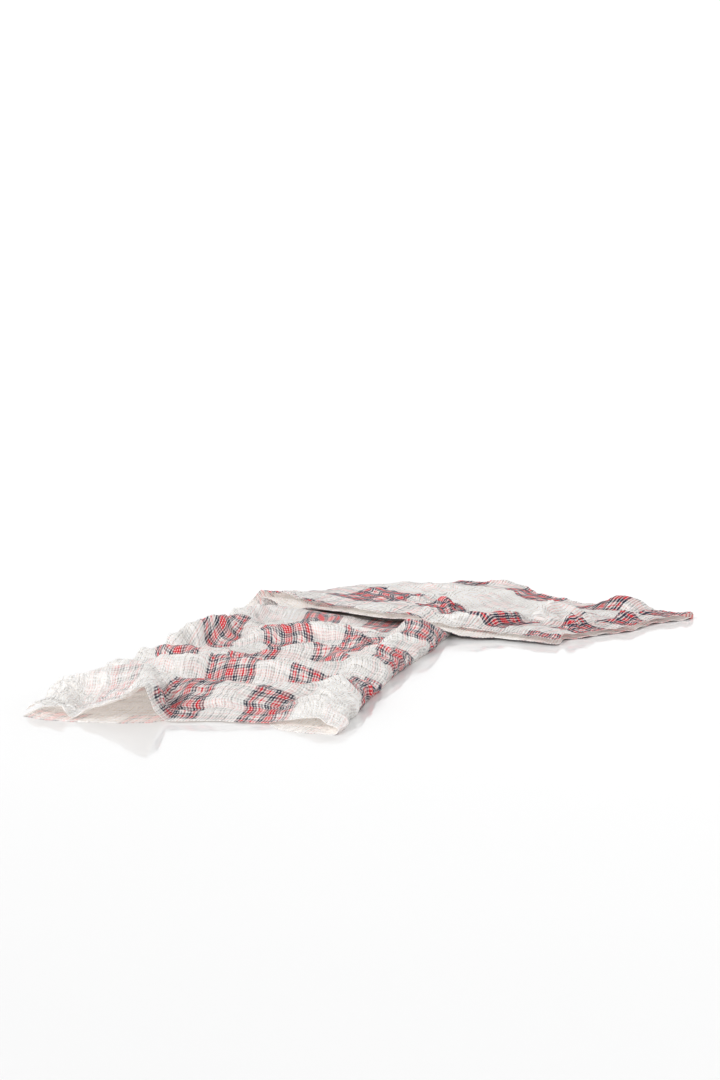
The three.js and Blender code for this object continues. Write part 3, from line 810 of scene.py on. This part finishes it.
# %% [markdown]
# ## Skins and hem
#
# Cotton gauze is under a millimetre thick, and its hem is turned over, so it is thicker. A sheet with no
# thickness would be simpler, but its hems would show no edge and its two sides couldn't differ. So it gets
# an outer and an inner skin round its middle and a rim at the edges, which makes it a closed thin body.
# Cloth that touches the surface rests on it and never goes below.

# %% Build the cloth
GAUZE = 0.7  # thickness of the sheet
HEM_GAUZE = 1.2
MM = 0.001


def skin_corners(rows, columns):
    index = np.arange(rows * columns).reshape(rows, columns)
    a, b, c, d = index[:-1, :-1], index[1:, :-1], index[1:, 1:], index[:-1, 1:]
    outer = np.stack([a, b, c, d], -1).reshape(-1, 4)
    inner = np.stack([a, d, c, b], -1).reshape(-1, 4) + index.size
    ring = np.concatenate([index[:-1, 0], index[-1, :-1], index[:0:-1, -1], index[0, :0:-1]])
    following = np.roll(ring, -1)
    rim = np.stack([ring, ring + index.size, following + index.size, following], -1)
    return np.concatenate([outer, inner, rim])


def build_cloth(points):
    half = mix(GAUZE, HEM_GAUZE, hem)[..., None] / 2
    normals = grid_normals(points)
    skins = np.stack([points + normals * half, points - normals * half])
    skins[..., 2] = np.maximum(skins[..., 2] + GAUZE / 2, 0)
    places = skins.reshape(-1, 3) * MM
    corners = skin_corners(*points.shape[:2])
    mesh = bpy.data.meshes.new("cloth_sheet")
    mesh.from_pydata(places.tolist(), [], corners.tolist())
    thread = np.stack([thread_columns, thread_rows], -1).reshape(-1, 2) * MM
    flat = np.stack([across_thread, along_thread], -1).reshape(-1, 2) * MM
    for name, places_on_cloth in (("cloth", flat), ("check", thread)):
        both_skins = np.concatenate([places_on_cloth, places_on_cloth])
        uv = mesh.uv_layers.new(name=name)
        uv.data.foreach_set("uv", both_skins[corners.reshape(-1)].reshape(-1))
    # crest carries the painted shade and highlight of the crinkle
    shares = dict(strength=strength, crest=crest, far=far_share)
    shares = {name: np.tile(values.reshape(-1), 2) for name, values in shares.items()}
    shares["reverse"] = np.repeat([0.0, 1.0], crest.size)
    for name, values in shares.items():
        mesh.attributes.new(name, "FLOAT", "POINT").data.foreach_set("value", values)
    mesh.polygons.foreach_set("use_smooth", np.ones(len(corners), bool))
    mesh.validate()
    mesh.update()
    piece = bpy.data.objects.new("cloth_sheet", mesh)
    bpy.context.collection.objects.link(piece)
    return piece


cloth = build_cloth(grid)
print("cloth", len(cloth.data.vertices), "points,", 2 * len(cloth.data.polygons), "triangles")

# %% [markdown]
# ## The woven check
#
# Bars of red edged by fine black lines run both along and across. A bar is only strong where it crosses
# another bar, because elsewhere half of the threads on show are ivory. Each direction is charted once,
# as bars at distances from the middle of a repeat, and each bar is weakened where it doesn't cross a bar
# group.
#
# The chart is read from the sheet's own thread distances, so the check follows every fold. The inner
# side of the cloth is the reverse of the weave, where the same check is taken to be paler. It is also
# tinted darker and greyer there, as painted shade for the insides of the folds, where this side shows.

# %% Shader maths as plain expressions
class Socket:
    """One output of a node. An expression on sockets adds the Math nodes for it."""

    def __init__(self, recipe, output):
        self.recipe = recipe
        self.output = output

    def _math(self, operation, *values, clamp=False):
        return self.recipe.node("ShaderNodeMath", dict(operation=operation, use_clamp=clamp), *values)

    def __add__(self, other):
        return self._math("ADD", self, other)

    def __sub__(self, other):
        return self._math("SUBTRACT", self, other)

    def __rsub__(self, other):
        return self._math("SUBTRACT", other, self)

    def __mul__(self, other):
        return self._math("MULTIPLY", self, other)

    def __truediv__(self, other):
        return self._math("DIVIDE", self, other)

    __radd__ = __add__
    __rmul__ = __mul__

    def fraction(self):
        return self._math("FRACT", self)

    def size(self):
        return self._math("ABSOLUTE", self)

    def sine(self):
        return self._math("SINE", self)

    def clamped(self):
        return self._math("ADD", self, 0.0, clamp=True)

    def part(self, name):
        """Another output of the same node."""
        return Socket(self.recipe, self.output.node.outputs[name])


class Recipe:
    """A material and its nodes."""

    def __init__(self, name):
        self.material = bpy.data.materials.new(name)
        self.material.use_nodes = True
        self.tree = self.material.node_tree
        self.shader = self.tree.nodes["Principled BSDF"]

    def node(self, kind, settings, *values, **named):
        """Adds a node: its settings first, then its sockets by order or by name."""
        node = self.tree.nodes.new(kind)
        for name, value in settings.items():
            if name == "stops":
                self._set_stops(node.color_ramp, value)
            else:
                setattr(node, name, value)
        for place, value in list(enumerate(values)) + list(named.items()):
            key = place if isinstance(place, int) else place.replace("_", " ")
            self._feed(node.inputs[key], value)
        shown = [output for output in node.outputs if output.enabled]
        return Socket(self, shown[0])

    def _feed(self, target, value):
        if isinstance(value, Socket):
            self.tree.links.new(value.output, target)
        else:
            target.default_value = value

    def _set_stops(self, ramp, stops):
        ramp.interpolation = "CONSTANT"
        ramp.elements[1].position = 1.0
        for place, colour in stops:
            element = ramp.elements[0] if place == 0 else ramp.elements.new(place)
            element.color = (*colour, 1)

    def attribute(self, name):
        settings = dict(attribute_name=name, attribute_type="GEOMETRY")
        return self.node("ShaderNodeAttribute", settings).part("Fac")

    def mix_colours(self, share, first, second, blend="MIX"):
        node = self.node("ShaderNodeMix", dict(data_type="RGBA", blend_type=blend)).output.node
        sockets = {socket.identifier: socket for socket in [*node.inputs, *node.outputs]}
        for key, value in dict(Factor_Float=share, A_Color=first, B_Color=second).items():
            self._feed(sockets[key], value)
        return Socket(self, sockets["Result_Color"])

    def feed_shader(self, **inputs):
        for name, value in inputs.items():
            self._feed(self.shader.inputs[name.replace("_", " ")], value)


print("shader helpers ready")

# %% [markdown]
# The chart below lists half of a repeat, from the middle of a bar group to the middle of the pale field.
# Each bar has its share of red thread, of black thread in the check, and of the faint lines that cross
# the pale fields.

# %% The check's chart
HALF_REPEAT = REPEAT / 2
BARS = (
    # from, to, red, black, faint line
    (0, 6.5, 1.0, 0.0, 0.0),
    (6.5, 15.0, 0.0, 1.0, 0.0),
    (15.0, 21, 0.16, 0.06, 0.0),
    (21, 24.5, 0.8, 0.0, 0.2),
    (24.5, 28.5, 0.1, 0.1, 0.2),
    (28.5, 34, 0.0, 1.0, 0.3),
    (34, 39, 1.0, 0.0, 0.0),
    (39, 45, 0.0, 0.9, 0.0),
    (48, 56, 0.0, 0.05, 0.55),
    (57, 58.5, 0.2, 0.0, 0.0),
    (61, 64.5, 0.0, 0.2, 1.0),
    (66.5, 68, 0.2, 0.0, 0.2),
    (70, 74.5, 0.0, 0.1, 0.7),
)


def chart_stops():
    stops = []
    for start, end, *shares in BARS:
        stops += [(start / HALF_REPEAT, tuple(shares)), (end / HALF_REPEAT, (0, 0, 0))]
    return [stop for stop in stops if stop[0] < 1]


print(len(chart_stops()), "stops in the chart")

# %% Colours and weights of the yarns
IVORY = (0.93, 0.905, 0.875, 1)
RED = (0.66, 0.028, 0.042, 1)
BLACK = (0.035, 0.04, 0.065, 1)
FAINT = (0.25, 0.235, 0.225, 1)
# painted shade: the inner side's darker grey tint, for the insides of the folds
REVERSE_PAINTED_SHADE = (0.60, 0.56, 0.52, 1)
BAR_ALONE = 0.27  # a bar that crosses a pale field, as a share of one that crosses a bar
BAND_REACH = 48  # from the middle of a bar group to its edge
BAND_FADE = 4
ALONG_PITCH = 4.6  # between the fine lines that run along the scarf
ACROSS_PITCH = 6.0
WEAVE_PITCH = 1.4
THREAD_DRIFT = 7.0  # how far the bars wander from their places
LINE_SWAY = 5.0  # and how far the fine lines do
ALONG_HATCH, ALONG_LOSS = 0.52, 0.30  # weight of the lines along, and what the far leg takes off
ACROSS_HATCH, ACROSS_GAIN = 0.36, 0.34  # weight of the lines across, and what it adds
RED_SHARES = (0.85, 0.70)  # of the bars of each direction
BLACK_SHARES = (0.90, 0.80)
RED_FLOOR = 0.19  # what shows between the fine lines
BLACK_FLOOR, BLACK_GAIN = 0.08, 1.15
FAINT_SHARE = 0.44
REVERSE_FADE = 0.5
REVERSE_SHADE_SHARE = 0.35
FOLD_LINES = (
    # stretch in each direction, weight
    ((105.0, 26.0), 1.2),
    ((34.0, 80.0), 1.1),
    ((170.0, 120.0), 0.5),
)
RELIEF = 0.0026  # in metres
WEAVE_RELIEF = 0.08
THROUGH_LIGHT = 0.2
print(len(FOLD_LINES), "kinds of fine crease in the relief")


# %% Cotton gauze
def fold_lines(gauze, uv, stretch, weight):
    """Creases as sharp ridges of a stretched noise."""
    scaled = gauze.node("ShaderNodeMapping", {}, Vector=uv, Scale=(*stretch, 1.0))
    noise = gauze.node("ShaderNodeTexNoise", {}, Vector=scaled, Scale=1.0, Detail=3.0, Roughness=0.55)
    return (1 - (noise * 2.0 - 1.0).size() * 2.0) * weight


def waves(distance, pitch):
    return (distance * (2 * math.pi / pitch)).sine()


def make_gauze():
    gauze = Recipe("cotton_check")
    node = gauze.node
    uv = node("ShaderNodeUVMap", dict(uv_map="cloth"))
    check = node("ShaderNodeUVMap", dict(uv_map="check"))
    wander = node("ShaderNodeTexNoise", {}, Vector=uv, Scale=35.0, Detail=4.0, Roughness=0.6)
    drift = node("ShaderNodeSeparateColor", {}, wander.part("Color"))
    place = node("ShaderNodeSeparateXYZ", {}, check)
    across = place / MM + (drift - 0.5) * THREAD_DRIFT
    along = place.part("Y") / MM + (drift.part("Green") - 0.5) * THREAD_DRIFT

    def chart(distance):
        cycle = (distance / REPEAT + 0.5).fraction()
        from_middle = (cycle - 0.5).size() * 2.0
        bars = node("ShaderNodeValToRGB", dict(stops=chart_stops()), from_middle)
        band = ((BAND_REACH - from_middle * HALF_REPEAT) / BAND_FADE).clamped()
        return node("ShaderNodeSeparateColor", {}, bars), band

    across_bars, across_band = chart(across)
    along_bars, along_band = chart(along)

    def strength(band):
        return band * (1 - BAR_ALONE) + BAR_ALONE

    def both(name, shares):
        first = across_bars.part(name) * strength(along_band) * shares[0]
        return first + along_bars.part(name) * strength(across_band) * shares[1]

    # The bars are broken up by fine lines in each direction, which stand for threads bunched by the crinkle
    threads = node("ShaderNodeSeparateXYZ", {}, uv)
    sway = (drift.part("Blue") - 0.5) * LINE_SWAY
    lines_along = waves(threads / MM + sway, ALONG_PITCH) * 0.5 + 0.5
    lines_across = waves(threads.part("Y") / MM + sway, ACROSS_PITCH) * 0.5 + 0.5
    reverse = gauze.attribute("reverse")
    shown = (1 - reverse * REVERSE_FADE) * gauze.attribute("strength")
    far = gauze.attribute("far")
    hatch = lines_along * (ALONG_HATCH - far * ALONG_LOSS)
    hatch = hatch + lines_across * (ACROSS_HATCH + far * ACROSS_GAIN)
    red = both("Red", RED_SHARES) * (hatch + RED_FLOOR) * shown
    black = both("Green", BLACK_SHARES) * (hatch * BLACK_GAIN + BLACK_FLOOR) * shown
    faint = across_bars.part("Blue") + along_bars.part("Blue")
    colour = gauze.mix_colours((faint * hatch * FAINT_SHARE).clamped(), IVORY, FAINT)
    colour = gauze.mix_colours(red.clamped(), colour, RED)
    colour = gauze.mix_colours(black.clamped(), colour, BLACK)
    # Painted shade: the inner side is tinted darker and greyer
    colour = gauze.mix_colours(reverse * REVERSE_SHADE_SHARE, colour, REVERSE_PAINTED_SHADE)

    # Fine creases and the weave, as relief
    first, second, third = [fold_lines(gauze, uv, *kind) for kind in FOLD_LINES]
    creases = first + second + third
    weave = waves(across, WEAVE_PITCH) * waves(along, WEAVE_PITCH)

    # Painted shade and highlight: the colour is darkened in the hollows and lightened on the crests of the
    # crinkle and of the fine creases, beyond what the lights show, and made a little darker along the fine
    # lines. The random patches are the cloth's own uneven tone.
    uneven = node("ShaderNodeTexNoise", {}, Vector=uv, Scale=60.0, Detail=4.0)
    patchy = uneven * 0.14 + 0.90
    painted_crease_shading = creases * 0.10 + 0.95
    painted_crest_shading = gauze.attribute("crest") * 0.46 + 0.80
    light = patchy * painted_crease_shading * painted_crest_shading - hatch * 0.13 + 0.045
    tone = node("ShaderNodeCombineColor", {}, light, light, light)
    colour = gauze.mix_colours(1.0, colour, tone, blend="MULTIPLY")
    height = creases + weave * WEAVE_RELIEF
    relief = node("ShaderNodeBump", {}, Strength=1.0, Distance=RELIEF, Height=height)

    # A weak glow on the inner side stands in for daylight that comes through thin gauze
    through_cloth = gauze.mix_colours(reverse, (0, 0, 0, 1), colour)
    gauze.feed_shader(
        Base_Color=colour,
        Roughness=0.93 - uneven * 0.1,
        Normal=relief,
        Emission_Color=through_cloth,
        Emission_Strength=THROUGH_LIGHT,
        Specular_IOR_Level=0.2,
        Subsurface_Weight=0.15,
        Subsurface_Radius=(1.0, 0.9, 0.8),
        Subsurface_Scale=0.0018,
    )
    return gauze.material


gauze = make_gauze()
cloth.data.materials.append(gauze)
print("material", gauze.name, "with", len(gauze.node_tree.nodes), "nodes")

# %% [markdown]
# ## The surface it lies on, and light
#
# The scarf lies on a smooth white surface, which mirrors its front edge faintly. The surface isn't part
# of the scarf. Area lamps close by would leave marks in the mirror image, so the light comes from a white
# wall all round, a pale sky and two broad suns, the stronger one from the front left.

# %% Floor
FLOOR_SIZE = 60
FLOOR_DROP = 0.0002
bpy.ops.object.select_all(action="DESELECT")
bpy.ops.mesh.primitive_plane_add(size=FLOOR_SIZE, location=(0, 0, -FLOOR_DROP))
floor = bpy.context.object
floor.name = "floor"
bpy.ops.object.transform_apply(location=True, rotation=True, scale=True)
polish = Recipe("white_surface")
smudge = polish.node(
    "ShaderNodeTexNoise", {}, Vector=polish.node("ShaderNodeTexCoord", {}).part("Object"), Scale=3.0
)
polish.feed_shader(Base_Color=(0.93, 0.93, 0.93, 1), Roughness=smudge * 0.03 + 0.05)
floor.data.materials.append(polish.material)
print("floor", FLOOR_SIZE, "m wide")

# %% A white wall all round, far away
WALL_RADIUS = 18
WALL_HEIGHT = 10
WALL_GLOW = 1.15
bpy.ops.object.select_all(action="DESELECT")
bpy.ops.mesh.primitive_cylinder_add(
    vertices=96, radius=WALL_RADIUS, depth=WALL_HEIGHT,
    end_fill_type="NOTHING", location=(0, 0, WALL_HEIGHT / 2),
)
wall = bpy.context.object
wall.name = "white_wall"
bpy.ops.object.transform_apply(location=True, rotation=True, scale=True)
bpy.ops.object.shade_smooth()
glow = Recipe("wall_glow")
glow.feed_shader(Base_Color=(0, 0, 0, 1), Roughness=1.0)
glow.feed_shader(Emission_Color=(1, 1, 1, 1), Emission_Strength=WALL_GLOW)
wall.data.materials.append(glow.material)
print("wall", WALL_RADIUS, "m away")

# %% Lights and surroundings
KEY_LIGHT = dict(place=(-2.6, -2.2, 2.0), spread=0.4, power=2.3)
BACK_LIGHT = dict(place=(1.4, 2.6, 1.6), spread=0.9, power=0.5)
SKY = dict(Color=(1.0, 1.0, 1.0, 1), Strength=0.62)


def add_light(name, place, spread, power):
    """A broad even light from a place towards the middle of the scarf."""
    bpy.ops.object.light_add(type="SUN", location=place)
    light = bpy.context.object
    light.name = name
    light.rotation_euler = (-Vector(place)).to_track_quat("-Z", "Y").to_euler()
    light.data.angle = spread
    light.data.energy = power


add_light("key_light", **KEY_LIGHT)
add_light("back_light", **BACK_LIGHT)
world = bpy.data.worlds.new("studio")
bpy.context.scene.world = world
world.use_nodes = True
for name, value in SKY.items():
    world.node_tree.nodes["Background"].inputs[name].default_value = value
bpy.context.scene.view_settings.view_transform = "Standard"

# %% [markdown]
# ## Put the sheet in place
#
# The sheet takes the place of the imported solid, moves with the one body, and is declared as a folded
# sheet with its estimated flat size. Its estimated flat size is typed in and only printed: the sheet's
# own area is about 0.78 of it. The size is typed in: the sheet's own area is about 0.78 of it.

# %% Attach the sheet and hide the imported solid
FLAT_SIZE = (1.10, 1.85)
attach(cloth, "root")
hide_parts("cloth")
print("declared", cloth.name, FLAT_SIZE)
